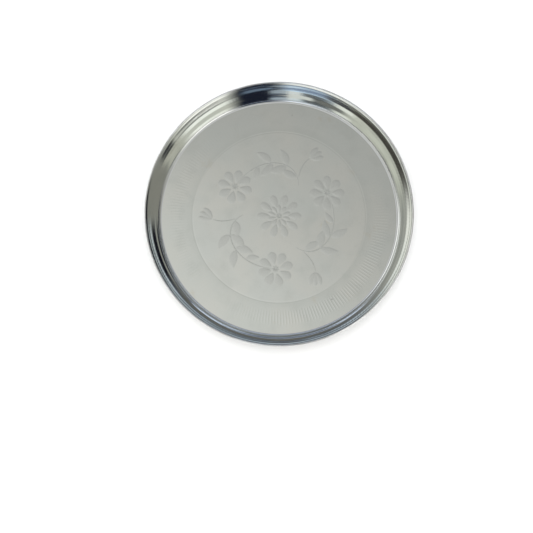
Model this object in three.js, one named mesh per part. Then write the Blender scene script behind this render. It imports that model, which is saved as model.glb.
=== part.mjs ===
// A pressed steel dinner plate: one round sheet drawn into a shallow dish with a leaning side wall,
// and its edge rolled outward and down. Millimetres, +Z up. The origin is on the plate's axis, on the
// surface it stands on. The sheet is kept as three solids, the flat base, the side wall and the rolled
// rim, which meet face to face.
import * as THREE from 'three';

// Overall size
const rimDiameter = 280;
const plateHeight = 29;
const sheetThickness = 0.5;

// Side wall, and the round bend between it and the flat base. Slopes are measured up from the
// horizontal, and a bend's radius is the one on its inside.
const wallSlopeDegrees = 69;
const baseBendRadius = 3.5;

// Flare at the top of the wall
const flareSlopeDegrees = 60;
const flareBendRadius = 22;
const flareLength = 1.2;

// Rolled rim: folded over at the top, dropped down the outside, and tucked back towards the wall
const rimFoldRadius = 0.45;
const rimDrop = 1.6;
const rimTuckRadius = 0.75;
const rimTuckDegrees = 80;
const rimTuckLength = 0.5;

// Ring line pressed into the upper face of the base, measured inward from where the base starts to bend
const ringLineInset = 32.5;
const ringLineWidth = 1.2;
const ringLineDepth = 0.15;

// Facets round the axis, and along each bend of the profile
const turnFacets = 72;
const baseBendFacets = 6;
const flareBendFacets = 3;
const rimFoldFacets = 5;
const rimTuckFacets = 4;

const straightDown = -Math.PI / 2;
const wallSlope = THREE.MathUtils.degToRad(wallSlopeDegrees);
const flareSlope = THREE.MathUtils.degToRad(flareSlopeDegrees);
const rimTuck = THREE.MathUtils.degToRad(rimTuckDegrees);

// The profile plane holds the radius as x and the height as y. The middle of the sheet is worked out
// first: each bend runs half a thickness outside its inner radius.
const halfSheet = sheetThickness / 2;
const baseBend = baseBendRadius + halfSheet;
const flareBend = flareBendRadius + halfSheet;
const rimFoldBend = rimFoldRadius + halfSheet;
const rimTuckBend = rimTuckRadius + halfSheet;
const profileOrigin = new THREE.Vector2();

function along(length, heading) {
  return new THREE.Vector2(length, 0).rotateAround(profileOrigin, heading);
}

function across(length, heading) {
  return new THREE.Vector2(0, length).rotateAround(profileOrigin, heading);
}

// The rim's fold touches the overall height, and its drop the overall diameter, which places the fold's
// centre. Going back from there through the flare gives the top of the wall, and the wall's slope then
// gives the radius of the flat base.
const rimInset = halfSheet + rimFoldBend;
const foldCentre = new THREE.Vector2(rimDiameter / 2 - rimInset, plateHeight - rimInset);
const flareTop = foldCentre.clone().add(across(rimFoldBend, flareSlope));
const flareFoot = flareTop.clone().sub(along(flareLength, flareSlope));
const flareBendCentre = flareFoot.clone().sub(across(flareBend, flareSlope));
const wallTop = flareBendCentre.clone().add(across(flareBend, wallSlope));
const wallRise = wallTop.y - halfSheet - baseBend * (1 - Math.cos(wallSlope));
const wallLength = wallRise / Math.sin(wallSlope);
const baseRadius = wallTop.x - wallLength * Math.cos(wallSlope) - baseBend * Math.sin(wallSlope);

// A stretch of the sheet's middle, walked outward as straight runs and round bends. A positive turn
// bends the sheet upward, a negative one bends it outward and down.
class SheetWalk {
  constructor(start) {
    this.stations = [start];
  }

  get end() {
    return this.stations.at(-1);
  }

  straight(length) {
    const { place, heading } = this.end;
    this.stations.push({ place: place.clone().add(along(length, heading)), heading });
    return this;
  }

  bend(radius, turn, facets) {
    const { place, heading } = this.end;
    const centre = place.clone().add(across(Math.sign(turn) * radius, heading));
    for (let facet = 1; facet <= facets; facet += 1) {
      const turned = (turn * facet) / facets;
      const turnedPlace = place.clone().rotateAround(centre, turned);
      this.stations.push({ place: turnedPlace, heading: heading + turned });
    }
    return this;
  }

  face(offset) {
    return this.stations.map(({ place, heading }) => place.clone().add(across(offset, heading)));
  }
}

const baseWalk = new SheetWalk({ place: new THREE.Vector2(0, halfSheet), heading: 0 })
  .straight(baseRadius);

const wallWalk = new SheetWalk(baseWalk.end)
  .bend(baseBend, wallSlope, baseBendFacets)
  .straight(wallLength)
  .bend(flareBend, flareSlope - wallSlope, flareBendFacets)
  .straight(flareLength);

const rimWalk = new SheetWalk(wallWalk.end)
  .bend(rimFoldBend, straightDown - flareSlope, rimFoldFacets)
  .straight(rimDrop)
  .bend(rimTuckBend, -rimTuck, rimTuckFacets)
  .straight(rimTuckLength);

function ringLine() {
  const radius = baseRadius - ringLineInset;
  return [
    new THREE.Vector2(radius - ringLineWidth / 2, sheetThickness),
    new THREE.Vector2(radius, sheetThickness - ringLineDepth),
    new THREE.Vector2(radius + ringLineWidth / 2, sheetThickness),
  ];
}

function baseProfile() {
  const [topCentre, topEdge] = baseWalk.face(halfSheet);
  const upperFace = [topCentre, ...ringLine(), topEdge];
  return [...baseWalk.face(-halfSheet), ...upperFace.reverse()];
}

function closedProfile(walk) {
  const lowerFace = walk.face(-halfSheet);
  const upperFace = walk.face(halfSheet);
  return [...lowerFace, ...upperFace.reverse(), lowerFace[0].clone()];
}

function turnedMesh(name, profile, material) {
  const geometry = new THREE.LatheGeometry(profile, turnFacets).rotateX(Math.PI / 2);
  const mesh = new THREE.Mesh(geometry, material);
  mesh.name = name;
  return mesh;
}

const satinSteel = new THREE.MeshStandardMaterial({ color: 0xb1b3ac, roughness: 0.35, metalness: 1 });
const mirrorSteel = new THREE.MeshStandardMaterial({ color: 0xc4c6c0, roughness: 0.12, metalness: 1 });
const polishedEdge = new THREE.MeshStandardMaterial({ color: 0xd2d4d0, roughness: 0.15, metalness: 1 });

const plate = new THREE.Group();
plate.add(turnedMesh('base_panel', baseProfile(), satinSteel));
plate.add(turnedMesh('side_wall', closedProfile(wallWalk), mirrorSteel));
plate.add(turnedMesh('rolled_rim', closedProfile(rimWalk), polishedEdge));

export default plate;
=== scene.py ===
# %% [markdown]
# # A pressed steel dinner plate
#
# The plate is one round sheet of stainless steel, pressed into a shallow dish: a flat base with a ring
# line in it, a leaning side wall, and an edge rolled outward and down so that it isn't sharp. The packed
# solids already fix where all of this lies, in metres, with the plate standing on z = 0. This lesson
# dresses them: a smooth turned sheet with a finish of its own for each face, the pressed and etched
# ornament of the base, and a small studio to see the plate in.

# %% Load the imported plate
import cmath
import math

import bmesh
import bpy
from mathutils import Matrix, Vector


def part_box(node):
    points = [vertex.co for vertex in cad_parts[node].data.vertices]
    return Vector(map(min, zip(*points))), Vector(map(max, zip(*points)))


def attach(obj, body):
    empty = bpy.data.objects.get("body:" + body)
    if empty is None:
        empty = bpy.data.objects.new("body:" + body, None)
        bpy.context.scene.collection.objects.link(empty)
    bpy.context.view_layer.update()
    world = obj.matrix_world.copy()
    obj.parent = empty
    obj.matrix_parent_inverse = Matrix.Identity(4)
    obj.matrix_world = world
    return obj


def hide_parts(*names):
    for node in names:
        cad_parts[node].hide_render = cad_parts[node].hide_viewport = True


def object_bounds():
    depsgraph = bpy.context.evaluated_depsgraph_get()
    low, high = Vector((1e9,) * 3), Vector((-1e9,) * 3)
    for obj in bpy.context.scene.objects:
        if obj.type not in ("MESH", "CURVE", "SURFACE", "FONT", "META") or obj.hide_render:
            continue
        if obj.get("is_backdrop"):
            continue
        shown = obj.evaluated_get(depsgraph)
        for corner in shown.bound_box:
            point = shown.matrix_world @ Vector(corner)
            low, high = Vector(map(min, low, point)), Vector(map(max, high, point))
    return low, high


MM = 0.001

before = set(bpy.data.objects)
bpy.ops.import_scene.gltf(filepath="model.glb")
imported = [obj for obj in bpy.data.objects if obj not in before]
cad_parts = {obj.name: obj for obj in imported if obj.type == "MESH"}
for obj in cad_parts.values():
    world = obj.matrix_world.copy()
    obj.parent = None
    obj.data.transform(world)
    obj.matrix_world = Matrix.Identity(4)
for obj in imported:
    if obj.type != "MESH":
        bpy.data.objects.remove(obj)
cad_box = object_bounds()
base_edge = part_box("base_panel")[1]
rim_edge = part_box("rolled_rim")[1]
base_radius = base_edge.x
sheet_thickness = base_edge.z
rim_radius = rim_edge.x
plate_height = rim_edge.z
print(f"plate {2 * rim_radius / MM:.1f} mm across and {plate_height / MM:.1f} mm high")
print(f"flat base {2 * base_radius / MM:.1f} mm across, sheet {sheet_thickness / MM:.2f} mm thick")

# %% [markdown]
# Materials and rule-made shapes are both trees of nodes in Blender. Adding a node by hand takes a line
# for the node, one for each setting and one for each link, which hides what the tree works out. A sum of
# three terms could be two Math nodes and four links. Here a `Signal` wraps one output socket, and ordinary
# arithmetic on it adds the Math nodes, so that a formula reads like a formula.

# %% Arithmetic on node sockets
def plug(tree, value, socket):
    if isinstance(value, Signal):
        tree.links.new(value.socket, socket)
    else:
        socket.default_value = value


class Signal:
    """An output socket of a node, with arithmetic."""

    def __init__(self, socket):
        self.socket = socket

    @staticmethod
    def math(operation, *operands):
        tree = next(operand.socket.id_data for operand in operands if isinstance(operand, Signal))
        made = tree.nodes.new("ShaderNodeMath")
        made.operation = operation
        for socket, operand in zip(made.inputs, operands):
            plug(tree, operand, socket)
        return Signal(made.outputs[0])

    def __add__(self, other):
        return Signal.math("ADD", self, other)

    def __sub__(self, other):
        return Signal.math("SUBTRACT", self, other)

    def __rsub__(self, other):
        return Signal.math("SUBTRACT", other, self)

    def __mul__(self, other):
        return Signal.math("MULTIPLY", self, other)

    def __truediv__(self, other):
        return Signal.math("DIVIDE", self, other)

    def __rtruediv__(self, other):
        return Signal.math("DIVIDE", other, self)

    def __pow__(self, other):
        return Signal.math("POWER", self, other)

    def __mod__(self, other):
        return Signal.math("FLOORED_MODULO", self, other)

    def __floordiv__(self, other):
        return Signal.math("FLOOR", self / other)

    def __abs__(self):
        return Signal.math("ABSOLUTE", self)

    __radd__ = __add__
    __rmul__ = __mul__


print("signals do +, -, *, /, **, %, // and abs()")

# %% [markdown]
# Every node that isn't arithmetic comes from one method, `Wiring.node`: its type, then its settings, then
# what its sockets hold, each a value or a signal. The settings go first, because they decide which sockets
# a node shows. Two nodes are used so often that they get a method of their own: an eased ramp from one
# value to another, and a mix of two colours.

# %% Whole nodes in one call
class Wiring:
    """A node tree that takes each new node in one call."""

    def __init__(self, tree):
        self.tree = tree

    def node(self, kind, settings=None, sockets=None):
        made = self.tree.nodes.new(kind)
        for name, value in (settings or {}).items():
            setattr(made, name, value)
        for name, value in (sockets or {}).items():
            plug(self.tree, value, next(s for s in made.inputs if s.enabled and s.name == name))
        return {socket.name: Signal(socket) for socket in made.outputs if socket.enabled}

    def ramp(self, value, start, stop, low=0.0, high=1.0):
        """Eases from low to high while the value goes from start to stop."""
        return self.node(
            "ShaderNodeMapRange",
            {"interpolation_type": "SMOOTHSTEP"},
            {"Value": value, "From Min": start, "From Max": stop, "To Min": low, "To Max": high},
        )["Result"]

    def mix(self, factor, first, second):
        """A colour between two colours."""
        return self.node(
            "ShaderNodeMix", {"data_type": "RGBA"}, {"Factor": factor, "A": first, "B": second}
        )["Result"]


print("node helpers: node, ramp and mix")

# %% [markdown]
# Polished steel is nearly all reflection, so its look lies in small things: how sharp the reflection is
# from place to place, the slow waves that pressing leaves in a thin sheet, fine scratches, and smears.
# `SteelFinish` starts a metal material and gives the patterns that the plate's finishes share. They read
# Object coordinates, which are metres on this plate, so a pattern's scale is a real size. The direction
# from the plate's axis is used for what runs up and down the wall, because unlike an angle it has no seam.

# %% A start for every steel finish
def rgb(red, green, blue):
    return (red, green, blue, 1.0)


class SteelFinish:
    """A metal material and the patterns that it is made of."""

    def __init__(self, name):
        self.material = bpy.data.materials.new(name)
        self.material.use_nodes = True
        self.wiring = Wiring(self.material.node_tree)
        self.wiring.tree.nodes.clear()
        self.place = self.wiring.node("ShaderNodeTexCoord")["Object"]
        parts = self.wiring.node("ShaderNodeSeparateXYZ", sockets={"Vector": self.place})
        self.x, self.y, self.z = parts["X"], parts["Y"], parts["Z"]
        self.radius = (self.x * self.x + self.y * self.y + MM * MM) ** 0.5

    def noise(self, size, where=None, detail=3.0, roughness=0.5):
        """Cloudy noise whose blotches are about that size, in metres."""
        return self.wiring.node(
            "ShaderNodeTexNoise",
            sockets={"Vector": where or self.place, "Scale": 1 / size, "Detail": detail,
                     "Roughness": roughness},
        )["Fac"]

    def vector(self, x, y, z):
        return self.wiring.node("ShaderNodeCombineXYZ", sockets={"X": x, "Y": y, "Z": z})["Vector"]

    def around(self, height_share):
        """Places that follow the direction round the axis, at the rim's radius, and little else."""
        scale = rim_radius / self.radius
        return self.vector(self.x * scale, self.y * scale, self.z * height_share)

    def along_rings(self, stretch):
        """Places that follow the distance from the axis, for marks that run round it."""
        return self.vector(self.radius * stretch, self.z * stretch, self.x * 0.5)

    def scratches(self, turn, width, length):
        """Thin straight scratches in one direction, as a mask."""
        turned = self.wiring.node(
            "ShaderNodeMapping",
            {"vector_type": "TEXTURE"},
            {"Vector": self.place, "Rotation": (0.0, 0.0, turn), "Scale": (length, width, length)},
        )["Vector"]
        lines = self.noise(1.0, turned, detail=1.0)
        return self.wiring.ramp(lines, 0.70, 0.78)

    def finish(self, colour, roughness, height, depth):
        """Ties the patterns to the shader. The height map's full range is that depth, in metres."""
        bump = self.wiring.node(
            "ShaderNodeBump", sockets={"Strength": 1.0, "Distance": depth, "Height": height}
        )["Normal"]
        shader = self.wiring.node(
            "ShaderNodeBsdfPrincipled",
            sockets={"Base Color": colour, "Metallic": 1.0, "Roughness": roughness, "Normal": bump},
        )["BSDF"]
        self.wiring.node("ShaderNodeOutputMaterial", sockets={"Surface": shader})
        print(f"finish {self.material.name}: {len(self.wiring.tree.nodes)} nodes")
        return self.material


print("steel patterns: noise, around, along_rings and scratches")

# %% [markdown]
# The upper face of the base is polished but used: a soft reflection, a little warmer in some places,
# with smears from wiping, a few tea-coloured stains, stray specks and hairline scratches. Outside the ring
# line it is painted a shade darker, most of all close to the line: painted shade that stands in for the
# dimmer reflection there and for the ring line's own shade. A picture of a worn plate could be laid on it,
# but noise has no edge and no repeat, and each mark can be set on its own. The base's waves are long and
# very low, just enough to bend a reflection.

# %% The dish floor's finish
RING_LINE_INSET = 32.5 * MM
RING_LINE_RADIUS = base_radius - RING_LINE_INSET
PAINTED_SHADE_SOFTNESS = 1.5 * MM
PAINTED_SHADE_REACH = 10 * MM
SPECK_SPACING = 19 * MM


def soft_polish():
    steel = SteelFinish("soft_polish")
    wiring = steel.wiring
    clouds = steel.noise(60 * MM)
    smears = wiring.ramp(steel.noise(22 * MM, detail=5.0), 0.45, 0.75)
    # Painted shade: outside the ring line the colour is darkened, most close to the line, for the dimmer
    # reflection there and the line's shade.
    painted_outer_shade = wiring.ramp(steel.radius, RING_LINE_RADIUS - PAINTED_SHADE_SOFTNESS, RING_LINE_RADIUS + PAINTED_SHADE_SOFTNESS)
    painted_outer_shade = painted_outer_shade * wiring.ramp(steel.radius, RING_LINE_RADIUS, RING_LINE_RADIUS + PAINTED_SHADE_REACH, 1.0, 0.5)
    stains = wiring.ramp(steel.noise(34 * MM, detail=6.0, roughness=0.65), 0.60, 0.74)
    hairlines = steel.scratches(0.4, 0.25 * MM, 40 * MM) + steel.scratches(1.3, 0.3 * MM, 30 * MM)
    cells = wiring.node(
        "ShaderNodeTexVoronoi", sockets={"Vector": steel.place, "Scale": 1 / SPECK_SPACING}
    )
    chosen = wiring.node("ShaderNodeSeparateColor", sockets={"Color": cells["Color"]})["Red"]
    specks = wiring.ramp(cells["Distance"], 0.045, 0.02) * wiring.ramp(chosen, 0.74, 0.76)
    colour = wiring.mix(wiring.ramp(clouds, 0.35, 0.65), rgb(0.60, 0.62, 0.58), rgb(0.63, 0.635, 0.585))
    # The darker colour is the wiping smears and, outside the ring line, painted shade.
    colour = wiring.mix(0.35 * smears + 0.5 * painted_outer_shade, colour, rgb(0.52, 0.54, 0.50))
    colour = wiring.mix(0.5 * stains, colour, rgb(0.55, 0.52, 0.43))
    colour = wiring.mix(0.7 * specks, colour, rgb(0.25, 0.24, 0.22))
    roughness = 0.06 + 0.04 * clouds + 0.06 * smears + 0.05 * hairlines + 0.2 * specks
    height = 0.9 * steel.noise(90 * MM, detail=1.0) + 0.02 * hairlines
    return steel.finish(colour, roughness, height, 0.12 * MM)


dish_floor_finish = soft_polish()

# %% [markdown]
# The inside of the wall is a mirror, and a mirror shows every unevenness. Drawing leaves the wall swollen
# by a third of a millimetre between its bend and its flare, so it mirrors one stretch of the room in its
# lower half and another in its upper half, as bands. Waves and ripples round the wall make the bands
# wander. A denser mesh could hold this, but it only bends reflections, so a height map for the Bump node
# is enough. Wiping leaves faint rings of dullness.

# %% The inner wall's finish
SWELL_FOOT = (6 * MM, 13 * MM)
SWELL_TOP = (25 * MM, 17 * MM)
SWELL_HEIGHT = 0.35 * MM


def mirror_polish():
    steel = SteelFinish("mirror_polish")
    wiring = steel.wiring
    swell = wiring.ramp(steel.z, *SWELL_FOOT) * wiring.ramp(steel.z, *SWELL_TOP)
    waves = steel.noise(60 * MM, steel.around(3.0), detail=0.0)
    ripples = steel.noise(30 * MM, steel.around(0.6), detail=0.0)
    clouds = steel.noise(40 * MM)
    rings = wiring.ramp(steel.noise(1.0, steel.along_rings(900.0), detail=2.0), 0.5, 0.8)
    colour = wiring.mix(clouds, rgb(0.66, 0.68, 0.68), rgb(0.72, 0.725, 0.71))
    roughness = 0.03 + 0.03 * clouds + 0.04 * rings
    return steel.finish(colour, roughness, swell + 0.5 * waves + 0.7 * ripples, SWELL_HEIGHT)


inner_wall_finish = mirror_polish()

# %% [markdown]
# The rolled rim is polished along its crest, where hands and cloths touch it. Down its outside the polish
# runs out into the dull, browned steel that the press left, so the finish goes from one to the other by
# height. Below the crest its colour is as dark as the outside's, and that darkness is partly painted shade.
# Its scratches run round the plate.

# %% The rim's finish
POLISH_ENDS_BELOW = 1.5 * MM
POLISH_FULL_ABOVE = 0.5 * MM


def rubbed_polish():
    steel = SteelFinish("rubbed_polish")
    wiring = steel.wiring
    crest = wiring.ramp(steel.z, plate_height - POLISH_ENDS_BELOW, plate_height - POLISH_FULL_ABOVE)
    rubbed = wiring.ramp(steel.noise(18 * MM, steel.around(1.0), detail=4.0), 0.4, 0.7)
    lines = steel.noise(1.0, steel.along_rings(6000.0), detail=3.0)
    colour = wiring.mix(rubbed, rgb(0.74, 0.745, 0.74), rgb(0.64, 0.64, 0.62))
    # Painted shade in part: below the crest the colour drops to the outside's dark, for the roll's downward
    # face that mirrors the shaded floor.
    colour = wiring.mix(crest, wiring.mix(lines, rgb(0.11, 0.10, 0.085), rgb(0.24, 0.22, 0.195)), colour)
    roughness = 0.42 - 0.32 * crest + 0.10 * rubbed + 0.06 * lines
    return steel.finish(colour, roughness, lines, 0.006 * MM)


rim_finish = rubbed_polish()

# %% [markdown]
# Nobody polishes the outside. It is the steel as the press left it: dull and browned, with short upright
# streaks where the sheet slid over the die, closer and darker towards the bottom, where it is also more
# mottled. Its dark colour is partly painted shade: it is kept far darker than steel for the shadowed floor
# that the outside mirrors, and the darkening towards the bottom is painted shade as well. The streaks follow
# the direction round the axis and change slowly with height.

# %% The outside's finish
PAINTED_SHADE_AND_MOTTLE_BELOW = (11 * MM, 2 * MM)


def drawn_steel():
    steel = SteelFinish("drawn_steel")
    wiring = steel.wiring
    broad = steel.noise(18 * MM, steel.around(0.4), detail=2.0)
    fine = steel.noise(1.5 * MM, steel.around(0.16), detail=3.0, roughness=0.7)
    streaks = wiring.ramp(0.4 * broad + 0.6 * fine, 0.36, 0.64)
    mottle = steel.noise(2.5 * MM, detail=5.0, roughness=0.65)
    # Painted shade and real mottling: the mottled stains grow stronger towards the bottom, near the floor.
    low = wiring.ramp(steel.z, *PAINTED_SHADE_AND_MOTTLE_BELOW)
    stains = (0.25 + 0.75 * low) * wiring.ramp(mottle, 0.42, 0.62)
    # Painted shade: these colours are kept far darker than steel for the shadowed floor that the outside
    # mirrors; the brown tint is the steel's own.
    colour = wiring.mix(streaks, rgb(0.042, 0.034, 0.025), rgb(0.092, 0.077, 0.060))
    colour = wiring.mix(stains * 0.7, colour, rgb(0.022, 0.018, 0.014))
    roughness = 0.44 - 0.10 * streaks + 0.12 * stains
    height = streaks + 0.6 * stains + 0.2 * mottle
    return steel.finish(colour, roughness, height, 0.02 * MM)


outside_finish = drawn_steel()

# %% [markdown]
# The underside is the same unpolished steel, without the streaks: the sheet hardly moved here. What shows
# is the faint ring pattern of the press, blotches, and the scuffs of years of tables.

# %% The underside's finish
def press_dull():
    steel = SteelFinish("press_dull")
    wiring = steel.wiring
    rings = steel.noise(1.0, steel.along_rings(700.0), detail=3.0)
    blotches = steel.noise(28 * MM, detail=4.0)
    scuffs = steel.scratches(0.9, 0.5 * MM, 25 * MM) + steel.scratches(2.6, 0.6 * MM, 35 * MM)
    colour = wiring.mix(wiring.ramp(blotches, 0.35, 0.65), rgb(0.10, 0.085, 0.07), rgb(0.17, 0.15, 0.125))
    colour = wiring.mix(wiring.ramp(rings, 0.45, 0.7) * 0.35, colour, rgb(0.24, 0.22, 0.19))
    colour = wiring.mix(scuffs * 0.5, colour, rgb(0.30, 0.28, 0.25))
    roughness = 0.40 + 0.12 * blotches + 0.08 * rings - 0.08 * scuffs
    return steel.finish(colour, roughness, rings + 0.3 * scuffs, 0.015 * MM)


underside_finish = press_dull()

# %% [markdown]
# The ornament is lightly etched into the base, so it is the same steel with a duller, finely grained
# surface. A second colour would be wrong: only its grain and its low relief tell it from the polish.

# %% The etched ornament's finish
def etched_matt():
    steel = SteelFinish("etched_matt")
    wiring = steel.wiring
    clouds = steel.noise(25 * MM)
    grain = steel.noise(0.35 * MM, detail=2.0)
    colour = wiring.mix(clouds, rgb(0.57, 0.585, 0.55), rgb(0.60, 0.61, 0.57))
    roughness = 0.17 + 0.05 * grain + 0.04 * clouds
    return steel.finish(colour, roughness, grain, 0.008 * MM)


etched_finish = etched_matt()

# %% [markdown]
# The sheet's section is easiest to think of as a walk along the middle of the metal, outward from the
# axis: straight across the base, up round the bend, up the wall, out through a slight flare, over the top
# and down the outside, and a last tuck back towards the wall. Its outline could be traced point by point,
# but then no bend would have a radius to change. A bend's radius is the one on its inside, so the middle
# of the sheet runs half a thickness outside it. The wall's length isn't chosen: it is what the other
# stretches leave of the plate's height.

# %% Sizes along the section
WALL_SLOPE = math.radians(69)
FLARE_SLOPE = math.radians(60)
RIM_TUCK = math.radians(80)
BASE_BEND_RADIUS = 3.5 * MM
FLARE_BEND_RADIUS = 22 * MM
FLARE_LENGTH = 1.2 * MM
RIM_FOLD_RADIUS = 0.45 * MM
RIM_DROP = 1.6 * MM
RIM_TUCK_RADIUS = 0.75 * MM
RIM_TUCK_LENGTH = 0.5 * MM

half_sheet = sheet_thickness / 2
base_bend = BASE_BEND_RADIUS + half_sheet
flare_bend = FLARE_BEND_RADIUS + half_sheet
rim_fold = RIM_FOLD_RADIUS + half_sheet
rim_tuck = RIM_TUCK_RADIUS + half_sheet
bend_rise = base_bend * (1 - math.cos(WALL_SLOPE))
flare_rise = flare_bend * (math.cos(FLARE_SLOPE) - math.cos(WALL_SLOPE))
flare_rise += FLARE_LENGTH * math.sin(FLARE_SLOPE)
fold_rise = rim_fold * (1 - math.cos(FLARE_SLOPE))
wall_rise = plate_height - sheet_thickness - bend_rise - flare_rise - fold_rise
wall_length = wall_rise / math.sin(WALL_SLOPE)
print(f"straight part of the wall {wall_length / MM:.2f} mm long")

# %% [markdown]
# A walk is a list of stations, each a place and a heading. Places are complex numbers here, the radius plus
# the height times i, so that turning one about another is a single multiplication. The two faces of the
# sheet lie half a thickness to each side of the walk. A straight stretch gets a station close to each of
# its ends, so that the smooth shading of a bend doesn't reach into the flat beside it.

# %% A walk along the sheet
EASE = 0.1 * MM


class SheetWalk:
    """The middle of the sheet as stations, each a place and a heading."""

    def __init__(self, station):
        self.stations = [station]

    def straight(self, length):
        place, heading = self.stations[-1]
        for distance in (EASE, length - EASE, length):
            self.stations.append((place + cmath.rect(distance, heading), heading))
        return self

    def bend(self, radius, turn, facets):
        place, heading = self.stations[-1]
        centre = place + math.copysign(radius, turn) * cmath.rect(1, heading + math.pi / 2)
        for facet in range(1, facets + 1):
            turned = turn * facet / facets
            self.stations.append((centre + (place - centre) * cmath.rect(1, turned), heading + turned))
        return self

    def face(self, offset):
        return [place + cmath.rect(offset, heading + math.pi / 2) for place, heading in self.stations]


print(f"a straight has stations {EASE / MM:.1f} mm from its ends")

# %% The walks of the base, the wall and the rim
BASE_BEND_FACETS = 24
FLARE_BEND_FACETS = 8
RIM_FOLD_FACETS = 15
RIM_TUCK_FACETS = 8
STRAIGHT_DOWN = -math.pi / 2

base_walk = SheetWalk((complex(0, half_sheet), 0.0)).straight(base_radius)
wall_walk = (
    SheetWalk(base_walk.stations[-1])
    .bend(base_bend, WALL_SLOPE, BASE_BEND_FACETS)
    .straight(wall_length)
    .bend(flare_bend, FLARE_SLOPE - WALL_SLOPE, FLARE_BEND_FACETS)
    .straight(FLARE_LENGTH)
)
rim_walk = (
    SheetWalk(wall_walk.stations[-1])
    .bend(rim_fold, STRAIGHT_DOWN - FLARE_SLOPE, RIM_FOLD_FACETS)
    .straight(RIM_DROP)
    .bend(rim_tuck, -RIM_TUCK, RIM_TUCK_FACETS)
    .straight(RIM_TUCK_LENGTH)
)
reach = max(point.real for point in rim_walk.face(half_sheet))
print(f"the rim reaches {reach / MM:.3f} mm from the axis, and the packed one {rim_radius / MM:.3f} mm")

# %% [markdown]
# A turned shape follows a rule, so Geometry Nodes can make it: take a flat grid, let its rows be the
# points of the section and its columns the steps round the axis, and turn each point by its column's
# angle. Merging what then coincides closes the seam and the pole. Each edge of the section says whether
# it is the sheet's upper face, and the grid's faces take that over, so that the two faces of the sheet
# get different finishes in one mesh.

# %% A grid turned round the axis
SEAM_GAP = 0.001 * MM


def turned_grid(wiring, section, steps):
    counts = wiring.node("GeometryNodeAttributeDomainSize", {"component": "MESH"}, {"Geometry": section})
    grid = wiring.node(
        "GeometryNodeMeshGrid", sockets={"Vertices X": counts["Point Count"], "Vertices Y": steps + 1}
    )["Mesh"]
    index = wiring.node("GeometryNodeInputIndex")["Index"]
    station_place = wiring.node(
        "GeometryNodeSampleIndex",
        {"data_type": "FLOAT_VECTOR", "domain": "POINT"},
        {"Geometry": section, "Value": wiring.node("GeometryNodeInputPosition")["Position"],
         "Index": (index + 0.5) // (steps + 1)},
    )["Value"]
    turned = wiring.node(
        "ShaderNodeVectorRotate",
        {"rotation_type": "Z_AXIS"},
        {"Vector": station_place, "Angle": index % (steps + 1) / steps * math.tau},
    )["Vector"]
    is_upper = wiring.node(
        "GeometryNodeSampleIndex",
        {"data_type": "BOOLEAN", "domain": "EDGE"},
        {"Geometry": section,
         "Value": wiring.node("GeometryNodeInputNamedAttribute", {"data_type": "BOOLEAN"},
                              {"Name": "upper"})["Attribute"],
         "Index": (index + 0.5) // steps},
    )["Value"]
    shape = wiring.node("GeometryNodeSetPosition", sockets={"Geometry": grid, "Position": turned})
    kept = wiring.node(
        "GeometryNodeStoreNamedAttribute",
        {"data_type": "BOOLEAN", "domain": "FACE"},
        {"Geometry": shape["Geometry"], "Name": "upper", "Value": is_upper},
    )["Geometry"]
    return wiring.node(
        "GeometryNodeMergeByDistance", sockets={"Geometry": kept, "Distance": SEAM_GAP}
    )["Geometry"]


print(f"points closer than {SEAM_GAP / MM:.3f} mm become one")

# %% A tree that turns a section round the axis
def add_sockets(tree, way, sockets):
    for name, kind in sockets.items():
        tree.interface.new_socket(name, in_out=way, socket_type=f"NodeSocket{kind}")


def turning_tree():
    tree = bpy.data.node_groups.new("turn_section", "GeometryNodeTree")
    add_sockets(tree, "INPUT", {"Section": "Geometry", "Steps": "Int",
                                "Upper finish": "Material", "Lower finish": "Material"})
    add_sockets(tree, "OUTPUT", {"Sheet": "Geometry"})
    wiring = Wiring(tree)
    given = wiring.node("NodeGroupInput")
    closed = turned_grid(wiring, given["Section"], given["Steps"])
    smooth = wiring.node("GeometryNodeSetShadeSmooth", sockets={"Geometry": closed})
    real = wiring.node("GeometryNodeRealizeInstances", sockets={"Geometry": smooth["Geometry"]})
    below = wiring.node(
        "GeometryNodeSetMaterial",
        sockets={"Geometry": real["Geometry"], "Material": given["Lower finish"]},
    )
    upper = wiring.node("GeometryNodeInputNamedAttribute", {"data_type": "BOOLEAN"}, {"Name": "upper"})
    above = wiring.node(
        "GeometryNodeSetMaterial",
        sockets={"Geometry": below["Geometry"], "Selection": upper["Attribute"],
                 "Material": given["Upper finish"]},
    )
    wiring.node("NodeGroupOutput", sockets={"Sheet": above["Geometry"]})
    return tree


turn_section = turning_tree()
print(f"{turn_section.name}: {len(turn_section.nodes)} nodes")

# %% [markdown]
# A tree is run by hanging it on an object as a modifier, whose inputs are set by their identifiers. The
# evaluated result is then kept as a plain mesh and the modifier goes, so that each finished piece is
# ordinary geometry. Setting a material leaves the starting mesh's empty slot in front, so that slot goes
# too. The edges where the sheet was cut stay sharp, and everything else is shaded smooth.

# %% Run a tree and keep its mesh
SHARP = math.radians(50)


def grown_mesh(tree, start_mesh, inputs):
    holder = bpy.data.objects.new("holder", start_mesh)
    bpy.context.scene.collection.objects.link(holder)
    modifier = holder.modifiers.new("grow", "NODES")
    modifier.node_group = tree
    for socket in tree.interface.items_tree:
        if socket.name in inputs:
            modifier[socket.identifier] = inputs[socket.name]
    depsgraph = bpy.context.evaluated_depsgraph_get()
    mesh = bpy.data.meshes.new_from_object(holder.evaluated_get(depsgraph))
    holder.modifiers.remove(modifier)
    bpy.data.objects.remove(holder)
    mesh.materials.pop(index=0)
    mesh.set_sharp_from_angle(angle=SHARP)
    return mesh


def add_piece(name, mesh):
    mesh.name = name
    piece = bpy.data.objects.new(name, mesh)
    bpy.context.scene.collection.objects.link(piece)
    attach(piece, "root")
    print(f"{name}: {len(mesh.polygons)} faces, {len(mesh.materials)} finishes")
    return piece


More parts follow.
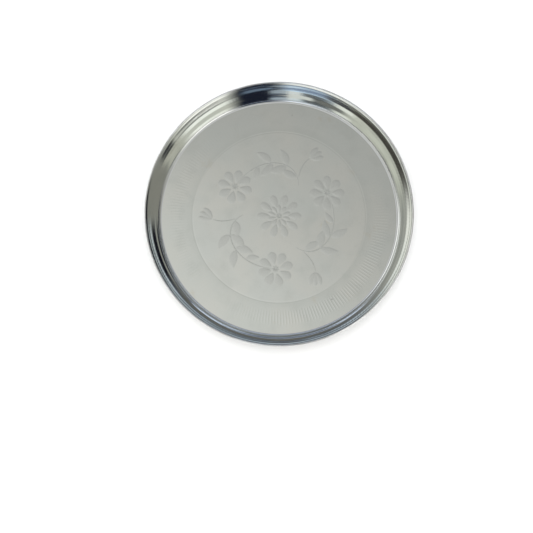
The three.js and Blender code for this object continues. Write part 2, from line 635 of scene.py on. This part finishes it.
print(f"edges over {math.degrees(SHARP):.0f} degrees stay sharp")

# %% [markdown]
# The tree takes the section as a chain of points and edges, the upper face outward and the lower face back,
# with a flag on each edge for the face it belongs to. The base, the wall and the rim could be turned as one
# sheet, which they are on the real plate. They are turned one by one instead, so that each stands for its
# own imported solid. They share their end stations, so no seam shows.

# %% A section becomes a turned piece
STEPS_ROUND = 240


def section_mesh(upper, lower):
    """The upper face outward and the lower face back, closed where it doesn't end on the axis."""
    points = [*upper, *reversed(lower)]
    if upper[0].real > EASE:
        points.append(upper[0])
    mesh = bpy.data.meshes.new("section")
    mesh.from_pydata(
        [(point.real, 0.0, point.imag) for point in points],
        [(index, index + 1) for index in range(len(points) - 1)],
        [],
    )
    flags = mesh.attributes.new("upper", "BOOLEAN", "EDGE")
    for index, flag in enumerate(flags.data):
        flag.value = index < len(upper) - 1
    return mesh


def turned_piece(name, node, upper, lower, upper_finish, lower_finish):
    mesh = grown_mesh(turn_section, section_mesh(upper, lower), {
        "Steps": STEPS_ROUND, "Upper finish": upper_finish, "Lower finish": lower_finish,
    })
    piece = add_piece(name, mesh)
    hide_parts(node)


print(f"{STEPS_ROUND} steps round, so {math.tau * rim_radius / STEPS_ROUND / MM:.1f} mm each at the rim")

# %% [markdown]
# A ring line is pressed into the base. It stiffens the flat sheet and frames the middle. A Boolean could cut
# it, but in a turned piece it only takes a few more points of the section: flat, in over a round lip, down
# to the bottom, and out again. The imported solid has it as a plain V. With its round lips it is wider and
# shallower here, and catches less shade.

# %% The base and its ring line
RING_LINE_WIDTH = 2.0 * MM
RING_LINE_DEPTH = 0.025 * MM
RING_LINE_SHARES = (-1.2, -1.0, -0.8, -0.5, -0.2, 0.0, 0.2, 0.5, 0.8, 1.0, 1.2)


def ring_line():
    for share in RING_LINE_SHARES:
        depth = RING_LINE_DEPTH * (1 + math.cos(math.pi * min(abs(share), 1.0))) / 2
        yield complex(RING_LINE_RADIUS + share * RING_LINE_WIDTH / 2, sheet_thickness - depth)


base_upper = base_walk.face(half_sheet)
turned_piece("plate_base", "base_panel",
             [*base_upper[:2], *ring_line(), *base_upper[2:]], base_walk.face(-half_sheet),
             dish_floor_finish, underside_finish)

# %% [markdown]
# The wall and the rim need nothing but their walks. Each has two finishes. The wall is a mirror inside and
# dull outside. The rim's polished face goes over the top and down, and its other face is inside the roll,
# where no polishing wheel gets in.

# %% The wall and the rim
turned_piece("plate_wall", "side_wall",
             wall_walk.face(half_sheet), wall_walk.face(-half_sheet),
             inner_wall_finish, outside_finish)
turned_piece("plate_rim", "rolled_rim",
             rim_walk.face(half_sheet), rim_walk.face(-half_sheet),
             rim_finish, outside_finish)

# %% [markdown]
# Between the ring line and the wall runs a band of fine radial flutes, and the middle of the base bears an
# etched flower ornament. Flutes, stems, leaves and petals are all strips along a line, so the line comes
# first. A spine is a small function: it takes a share of the way along, and gives a place on the base, again
# as a complex number, and a heading. Curve objects would do as well, but a function can be asked for the
# very place on a stem where a leaf grows.

# %% Spines
def arc(start, heading, length, curl=0.0):
    """A spine that turns by the curl along its length."""
    def spine(share):
        return start + cmath.rect(length * share, heading + curl * share / 2), heading + curl * share
    return spine


def bezier(first, second, third, last):
    """A spine along a cubic Bezier curve."""
    def spine(share):
        rest = 1 - share
        place = (rest ** 3 * first + 3 * rest ** 2 * share * second
                 + 3 * rest * share ** 2 * third + share ** 3 * last)
        ahead = (rest ** 2 * (second - first) + 2 * rest * share * (third - second)
                 + share ** 2 * (last - third))
        return place, cmath.phase(ahead)
    return spine


print("spines: arc and bezier")

# %% [markdown]
# Along a spine goes a blade: a closed, softly domed strip, widest somewhere along it. A flat strip with a
# bump map would be simpler, but only real relief bends the reflection along the blade's edge as pressed or
# etched steel does. The underside is sunk a little into the base, so that no light gets in below.

# %% Blades along a spine
BLADE_SINK = 0.05 * MM
BLADE_SEAM_GAP = 0.0001 * MM
END_ROUNDING = 0.4
CREASE_SHARPNESS = 3


def add_blade(form, spine, width, rise, swell=1.0, blunt=0.7, crease=0.0, cells=(10, 4)):
    """The swell moves the widest place towards the tip, and the crease is a groove along the middle."""
    for upward in (True, False):
        rows = []
        for along in range(cells[0] + 1):
            share = along / cells[0]
            place, heading = spine(share)
            half_width = width / 2 * abs(math.sin(math.pi * share ** swell)) ** blunt
            rows.append([])
            for across in range(cells[1] + 1):
                side = 2 * across / cells[1] - 1
                spot = place + cmath.rect(side * half_width, heading + math.pi / 2)
                dome = (1 - side * side) * abs(math.sin(math.pi * share)) ** END_ROUNDING
                lift = rise * (1 - crease * (1 - abs(side)) ** CREASE_SHARPNESS) if upward else -BLADE_SINK
                rows[-1].append(form.verts.new((spot.real, spot.imag, sheet_thickness + lift * dome)))
        for near, far in zip(rows, rows[1:]):
            for across in range(cells[1]):
                corners = [near[across], far[across], far[across + 1], near[across + 1]]
                form.faces.new(corners if upward else corners[::-1])


def form_mesh(name, form):
    bmesh.ops.remove_doubles(form, verts=form.verts, dist=BLADE_SEAM_GAP)
    bmesh.ops.recalc_face_normals(form, faces=form.faces)
    mesh = bpy.data.meshes.new(name)
    form.to_mesh(mesh)
    form.free()
    mesh.shade_smooth()
    return mesh


print(f"blades are sunk {BLADE_SINK / MM:.2f} mm into the base")

# %% [markdown]
# The flutes repeat all round the base, and so does the ornament, more slowly. A second tree takes one mark
# and spreads a number of copies round the axis. The mark is modelled where its first copy belongs, so each
# copy only has to be turned about the axis. A press tool that isn't quite level bites deeper on one side, so
# the tree can also flatten the copies towards the other side, down to the face of the base.

# %% A tree that spreads copies round the axis
DEEPEST_WAY = math.radians(-80)
BITE_FALL = 3


def spreading_tree():
    tree = bpy.data.node_groups.new("spread_round", "GeometryNodeTree")
    add_sockets(tree, "INPUT", {"Mark": "Geometry", "Count": "Int",
                                "Flattened": "Float", "Finish": "Material"})
    add_sockets(tree, "OUTPUT", {"Ring": "Geometry"})
    wiring = Wiring(tree)
    given = wiring.node("NodeGroupInput")
    index = wiring.node("GeometryNodeInputIndex")["Index"]
    way = index / given["Count"] * math.tau
    turn = wiring.node("ShaderNodeCombineXYZ", sockets={"Z": way})
    bite = (0.5 + 0.5 * Signal.math("COSINE", way - DEEPEST_WAY)) ** BITE_FALL
    depth = 1 - given["Flattened"] * (1 - bite)
    scale = wiring.node("ShaderNodeCombineXYZ", sockets={"X": 1.0, "Y": 1.0, "Z": depth})
    place = wiring.node("ShaderNodeCombineXYZ", sockets={"Z": sheet_thickness * (1 - depth)})
    points = wiring.node(
        "GeometryNodePoints", sockets={"Count": given["Count"], "Position": place["Vector"]}
    )
    copies = wiring.node(
        "GeometryNodeInstanceOnPoints",
        sockets={"Points": points["Points"], "Instance": given["Mark"],
                 "Rotation": turn["Vector"], "Scale": scale["Vector"]},
    )
    real = wiring.node("GeometryNodeRealizeInstances", sockets={"Geometry": copies["Instances"]})
    dressed = wiring.node(
        "GeometryNodeSetMaterial", sockets={"Geometry": real["Geometry"], "Material": given["Finish"]}
    )
    wiring.node("NodeGroupOutput", sockets={"Ring": dressed["Geometry"]})
    return tree


def spread_piece(name, form, count, finish, flattened=0.0):
    inputs = {"Count": count, "Flattened": flattened, "Finish": finish}
    mesh = grown_mesh(spread_round, form_mesh(name, form), inputs)
    add_piece(name, mesh)


spread_round = spreading_tree()
print(f"{spread_round.name}: {len(spread_round.nodes)} nodes")

# %% [markdown]
# The flutes are pressed, not etched, so they keep the polish of the base. They show only because their
# flanks lean, and so reflect the light a little to the side. They are plain along the front and faint
# elsewhere.

# %% The band of flutes
FLUTE_COUNT = 225
FLUTE_START = 99 * MM
FLUTE_LENGTH = 19 * MM
FLUTE_WIDTH = 1.5 * MM
FLUTE_RISE = 0.035 * MM
FLUTE_FLATTENED = 0.8

flute = bmesh.new()
add_blade(flute, arc(FLUTE_START, 0.0, FLUTE_LENGTH), FLUTE_WIDTH, FLUTE_RISE, blunt=0.25, cells=(6, 4))
spread_piece("flute_band", flute, FLUTE_COUNT, dish_floor_finish, FLUTE_FLATTENED)

# %% [markdown]
# The etched ornament is so faint that it shows only at some angles. It is a turning wreath: a sprig with a
# stem, leaves, an open blossom and a bud on a twig, three times round the middle. Leaves and petals have a
# crease for their middle vein. The leaves are listed by where they grow on the stem, on which side, and how
# many millimetres long they are, so one can be moved along without drawing it again.

# %% The sprig's stem, twig and leaves
ETCH_RISE = 0.12 * MM
STEM_WIDTH = 1.2 * MM
STEM = bezier(*[MM * point for point in (17 - 33j, 42 - 52j, 72 - 16j, 51 + 25j)])
TWIG = bezier(*[MM * point for point in (25 - 38j, 32 - 44j, 38 - 52j, 38 - 60j)])
LEAVES = [(0.14, 1, 19), (0.36, 1, 21), (0.36, -1, 20), (0.55, 1, 20), (0.57, -1, 20), (0.72, 1, 15)]
LEAF_LEAN = math.radians(62)
LEAF_CURL = math.radians(40)
LEAF_WIDTH_SHARE = 0.44


def etch(form, spine, width, **shape):
    add_blade(form, spine, width, ETCH_RISE, **shape)


sprig = bmesh.new()
etch(sprig, STEM, STEM_WIDTH, blunt=0.15, cells=(36, 2))
etch(sprig, TWIG, STEM_WIDTH, blunt=0.15, cells=(12, 2))
for share, side, length in LEAVES:
    place, heading = STEM(share)
    leaf = arc(place, heading + side * LEAF_LEAN, length * MM, -side * LEAF_CURL)
    etch(sprig, leaf, LEAF_WIDTH_SHARE * length * MM, swell=0.85, blunt=1.0, crease=0.7)
print(f"sprig: a stem, a twig and {len(LEAVES)} leaves")

# %% The sprig's blossom
BLOSSOM_PETALS = 8
BLOSSOM_INNER = 4.5 * MM
BLOSSOM_OUTER = 19 * MM
PETAL_WIDTH = 9.5 * MM
SEED_LENGTH_SHARE = 0.9
SEED_WIDTH_SHARE = 0.35

blossom = STEM(1.0)[0]
for petal in range(BLOSSOM_PETALS):
    heading = math.tau * petal / BLOSSOM_PETALS
    start = blossom + cmath.rect(BLOSSOM_INNER, heading)
    length = BLOSSOM_OUTER - BLOSSOM_INNER
    etch(sprig, arc(start, heading, length), PETAL_WIDTH, swell=1.5, blunt=0.6, crease=0.5)
    seed = arc(blossom, heading + math.pi / BLOSSOM_PETALS, BLOSSOM_INNER * SEED_LENGTH_SHARE)
    etch(sprig, seed, BLOSSOM_INNER * SEED_WIDTH_SHARE, swell=1.8, cells=(4, 2))
print(f"sprig: a blossom of {BLOSSOM_PETALS} petals and as many seeds")

# %% The sprig's bud, and the wreath
BUD_LENGTH = 15 * MM
BUD_WIDTH = 6.5 * MM
BUD_LEANS = (-0.6, 0.6, 0.0)
BUD_CURL_SHARE = -0.7
SPRIG_COUNT = 3

bud, bud_heading = TWIG(1.0)
for lean in BUD_LEANS:
    bud_petal = arc(bud, bud_heading + lean, BUD_LENGTH, BUD_CURL_SHARE * lean)
    etch(sprig, bud_petal, BUD_WIDTH, swell=1.1, crease=0.4)
spread_piece("etched_sprigs", sprig, SPRIG_COUNT, etched_finish)

# %% [markdown]
# In the middle stands a rosette: a ring of petals, a ring of smaller ones between them, and a ring of seeds.
# As with the flutes, one of each is modelled, and the tree spreads them. Each is given by how far from the
# axis it starts, its length and its width.

# %% The etched rosette
ROSETTE_PETALS = 10
LARGE_PETAL = (9 * MM, 15 * MM, 8 * MM)
SMALL_PETAL = (3.5 * MM, 9 * MM, 4.5 * MM)
SEED = (0.4 * MM, 2.8 * MM, 1.4 * MM)


def etch_spoke(form, heading, start, length, width, **shape):
    etch(form, arc(cmath.rect(start, heading), heading, length), width, **shape)


rosette = bmesh.new()
etch_spoke(rosette, 0.0, *LARGE_PETAL, swell=1.4, blunt=0.6, crease=0.5)
etch_spoke(rosette, math.pi / ROSETTE_PETALS, *SMALL_PETAL, swell=1.4, crease=0.5)
etch_spoke(rosette, 0.0, *SEED, swell=1.8, cells=(4, 2))
spread_piece("etched_rosette", rosette, ROSETTE_PETALS, etched_finish)

# %% [markdown]
# The plate is seen from nearly above, as when it is laid in front of someone. The camera stands about an
# arm and a half away, and its lens and shift put the rim where the picture has it. The picture is square.

# %% The camera
PICTURE_SIDE = 533
RIM_CENTRE = (279.1, 210.9)
RIM_HALF_WIDTH = 135.0
CAMERA_ELEVATION = math.radians(78.8)
CAMERA_DISTANCE = 1.2
SENSOR_WIDTH = 36.0

camera_data = bpy.data.cameras.new("camera")
camera_data.sensor_width = SENSOR_WIDTH
camera_data.lens = SENSOR_WIDTH * RIM_HALF_WIDTH / rim_radius * CAMERA_DISTANCE / PICTURE_SIDE
camera_data.shift_x = 0.5 - RIM_CENTRE[0] / PICTURE_SIDE
camera_data.shift_y = RIM_CENTRE[1] / PICTURE_SIDE - 0.5
camera = bpy.data.objects.new("camera", camera_data)
back = Vector((0, -math.cos(CAMERA_ELEVATION), math.sin(CAMERA_ELEVATION)))
camera.location = Vector((0, 0, plate_height)) + back * CAMERA_DISTANCE
camera.rotation_euler = (math.pi / 2 - CAMERA_ELEVATION, 0, 0)
bpy.context.scene.collection.objects.link(camera)
bpy.context.scene.camera = camera
print(f"lens {camera_data.lens:.1f} mm, shift {camera_data.shift_x:.3f}, {camera_data.shift_y:.3f}")

# %% [markdown]
# A mirror shows its surroundings, so the studio is part of how the plate looks. Lamps and boards could make
# it, but they would also light and shade the floor, so it is painted into the world by direction. Straight
# above hangs one broad soft light, brighter towards the front and the left, with a dim ceiling round it.
# That is what the base mirrors. Its stretches and edges are parts of a direction that is one unit long.

# %% The overhead light
CEILING = rgb(0.48, 0.49, 0.48)
BRIGHTEST = 1.06
DIMMEST = 0.49
FALL_TO_RIGHT = 1.25
FALL_TO_BACK = 1.7
FALL_STRETCH = (-0.15, 0.70)
EASING_STRETCH = (0.18, 0.28)
EASED_SHARE = 0.3
SIDE_SLANT = 0.3
SIDE_EDGE = (0.24, 0.16)
FRONT_EDGE = (-0.10, -0.02)

world = bpy.data.worlds.new("studio")
world.use_nodes = True
bpy.context.scene.world = world
studio = Wiring(world.node_tree)
studio.tree.nodes.clear()
direction = studio.node("ShaderNodeTexCoord")["Generated"]
towards = studio.node("ShaderNodeSeparateXYZ", sockets={"Vector": direction})
eased = studio.ramp(towards["Y"], *EASING_STRETCH, 1.0, EASED_SHARE)
fall = FALL_TO_RIGHT * towards["X"] * eased + FALL_TO_BACK * towards["Y"]
shade = studio.ramp(fall, *FALL_STRETCH, BRIGHTEST, DIMMEST)
overhead = studio.node("ShaderNodeCombineColor", sockets={"Red": shade, "Green": shade, "Blue": shade})
within = studio.ramp(abs(towards["X"]) - SIDE_SLANT * towards["Y"], *SIDE_EDGE)
within = within * studio.ramp(towards["Y"], *FRONT_EDGE)
light = studio.mix(within, CEILING, overhead["Color"])
print(f"overhead light: {len(studio.tree.nodes)} nodes")

# %% [markdown]
# From above, the wall mirrors the base, and by way of the base it mirrors the room along a slanted circle:
# 52 degrees up behind the plate, and 30 degrees up in front of it. So the soft patches of light and dark
# that give the wall its bands are placed by the way round, and by how far above or below that circle they
# are. Each row is a way, a level, a half width and a half height in degrees, and a colour, and a later
# patch covers an earlier one.

# %% The shape of a patch
CIRCLE_HEIGHT = math.radians(41)
CIRCLE_SLANT = math.radians(11)
PATCH_SOFTNESS = 0.4
PATCH_SQUARENESS = 3

height_angle = Signal.math("ARCSINE", towards["Z"])
way_round = Signal.math("ARCTAN2", towards["X"], towards["Y"])
wall_circle = CIRCLE_HEIGHT + CIRCLE_SLANT * Signal.math("COSINE", way_round)


def patch(way, level, half_width, half_height):
    """A rounded patch of the room. The way is 0 behind the plate and 90 to its right."""
    off_way = Signal.math("WRAP", way_round - math.radians(way), math.pi, -math.pi)
    off_level = height_angle - wall_circle - math.radians(level)
    across = abs(off_way / math.radians(half_width))
    upward = abs(off_level / math.radians(half_height))
    distance = (across ** PATCH_SQUARENESS + upward ** PATCH_SQUARENESS) ** (1 / PATCH_SQUARENESS)
    return studio.ramp(distance, 1 + PATCH_SOFTNESS, 1 - PATCH_SOFTNESS)


lowest, highest = CIRCLE_HEIGHT - CIRCLE_SLANT, CIRCLE_HEIGHT + CIRCLE_SLANT
print(f"the circle runs from {math.degrees(lowest):.0f} to {math.degrees(highest):.0f} degrees up")

# %% The patches that the wall mirrors
PATCHES = [
    (180, 25, 90, 4, rgb(0.90, 0.90, 0.88)),
    (-62, -12, 30, 6, rgb(1.70, 1.70, 1.68)),
    (-62, -26, 30, 5, rgb(1.70, 1.70, 1.68)),
    (-62, -1, 26, 5, rgb(0.70, 0.70, 0.68)),
    (-118, 2, 34, 7, rgb(1.20, 1.20, 1.10)),
    (-118, -8, 34, 5, rgb(0.12, 0.11, 0.10)),
    (-135, -16, 45, 3, rgb(2.00, 2.00, 2.00)),
    (-118, -23, 34, 4, rgb(0.15, 0.15, 0.15)),
    (-164, 2, 18, 12, rgb(1.45, 1.47, 1.48)),
    (-166, -7, 18, 3, rgb(0.35, 0.46, 0.70)),
    (-166, -2, 16, 2, rgb(1.25, 1.60, 2.10)),
    (-160, 2, 7, 3, rgb(0.25, 0.25, 0.26)),
    (-154, 5, 6, 6, rgb(0.20, 0.21, 0.23)),
    (-149, 7, 8, 4, rgb(0.33, 0.33, 0.33)),
    (-141, 0, 6, 2, rgb(1.75, 1.75, 1.70)),
    (-146, -6, 8, 3, rgb(0.10, 0.10, 0.12)),
    (134, 0, 24, 24, rgb(1.15, 1.15, 1.08)),
    (140, -1, 20, 2, rgb(2.10, 2.10, 2.05)),
    (140, -13, 17, 5, rgb(2.30, 2.25, 2.25)),
    (132, -5, 18, 2, rgb(0.35, 0.34, 0.35)),
    (109, 1, 9, 6, rgb(0.95, 0.94, 0.86)),
    (108, -6, 6, 3, rgb(0.05, 0.05, 0.06)),
    (167, -2, 14, 24, rgb(0.02, 0.025, 0.05)),
    (168, -6, 9, 1, rgb(0.45, 0.60, 0.85)),
    (180, 6, 5, 3, rgb(0.20, 0.24, 0.33)),
    (180, 0, 5, 2, rgb(0.80, 0.92, 1.10)),
    (86, -4, 15, 24, rgb(0.47, 0.46, 0.43)),
    (14, -14, 46, 22, rgb(0.13, 0.15, 0.20)),
    (14, 1, 40, 3, rgb(0.26, 0.25, 0.24)),
    (8, -11, 50, 4, rgb(1.20, 1.35, 1.60)),
    (56, 6, 14, 3, rgb(0.60, 0.60, 0.58)),
    (57, -2, 13, 5, rgb(0.01, 0.01, 0.02)),
    (48, -11, 20, 2, rgb(1.60, 1.70, 1.85)),
    (60, -16, 18, 3, rgb(0.04, 0.04, 0.05)),
    (72, -24, 20, 9, rgb(0.01, 0.01, 0.02)),
    (0, -38, 60, 10, rgb(0.36, 0.38, 0.39)),
]
for *extent, tint in PATCHES:
    light = studio.mix(patch(*extent), light, tint)
background = studio.node("ShaderNodeBackground", sockets={"Color": light, "Strength": 1.0})
studio.node("ShaderNodeOutputWorld", sockets={"Surface": background["Background"]})
print(f"studio: {len(PATCHES)} patches")

# %% [markdown]
# The floor is pale and plain. Wide, soft suns light it from all round, so that the plate throws hardly any
# shadow. They don't show in reflections, because a mirror would turn each into a hard spot.

# %% The floor and its light
FLOOR_HALF = 20.0
FLOOR_DROP = 0.1 * MM
FLOOR_COLOUR = rgb(0.86, 0.86, 0.855)
FLOOR_ROUGHNESS = 0.9
SUN_WAYS = (0, 120, 240)
SUN_TILT = math.radians(40)
SUN_WIDTH = math.radians(80)
SUN_ENERGY = 1.5

floor_mesh = bpy.data.meshes.new("floor")
floor_corners = [
    (x * FLOOR_HALF, y * FLOOR_HALF, -FLOOR_DROP) for x, y in ((-1, -1), (1, -1), (1, 1), (-1, 1))
]
floor_mesh.from_pydata(floor_corners, [], [(0, 1, 2, 3)])
floor_paint = bpy.data.materials.new("floor_paint")
floor_paint.use_nodes = True
paint = floor_paint.node_tree.nodes["Principled BSDF"]
paint.inputs["Base Color"].default_value = FLOOR_COLOUR
paint.inputs["Roughness"].default_value = FLOOR_ROUGHNESS
paint.inputs["Specular IOR Level"].default_value = 0.0
floor_mesh.materials.append(floor_paint)
floor = bpy.data.objects.new("floor", floor_mesh)
bpy.context.scene.collection.objects.link(floor)
floor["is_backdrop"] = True

for way in SUN_WAYS:
    sun_data = bpy.data.lights.new("floor_light", "SUN")
    sun_data.energy = SUN_ENERGY
    sun_data.angle = SUN_WIDTH
    sun = bpy.data.objects.new("floor_light", sun_data)
    sun.rotation_euler = (SUN_TILT, 0, math.radians(way))
    sun.visible_glossy = False
    bpy.context.scene.collection.objects.link(sun)
bpy.context.scene.view_settings.view_transform = "Standard"
print(f"floor and {len(SUN_WAYS)} soft suns")

# %% [markdown]
# Last, the two boxes are written side by side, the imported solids' and the dressed plate's: dressing must
# not change the plate's size.

visual_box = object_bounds()
for name, box in (("solids", cad_box), ("dressed", visual_box)):
    print(name, [round(high - low, 5) for low, high in zip(*box)])
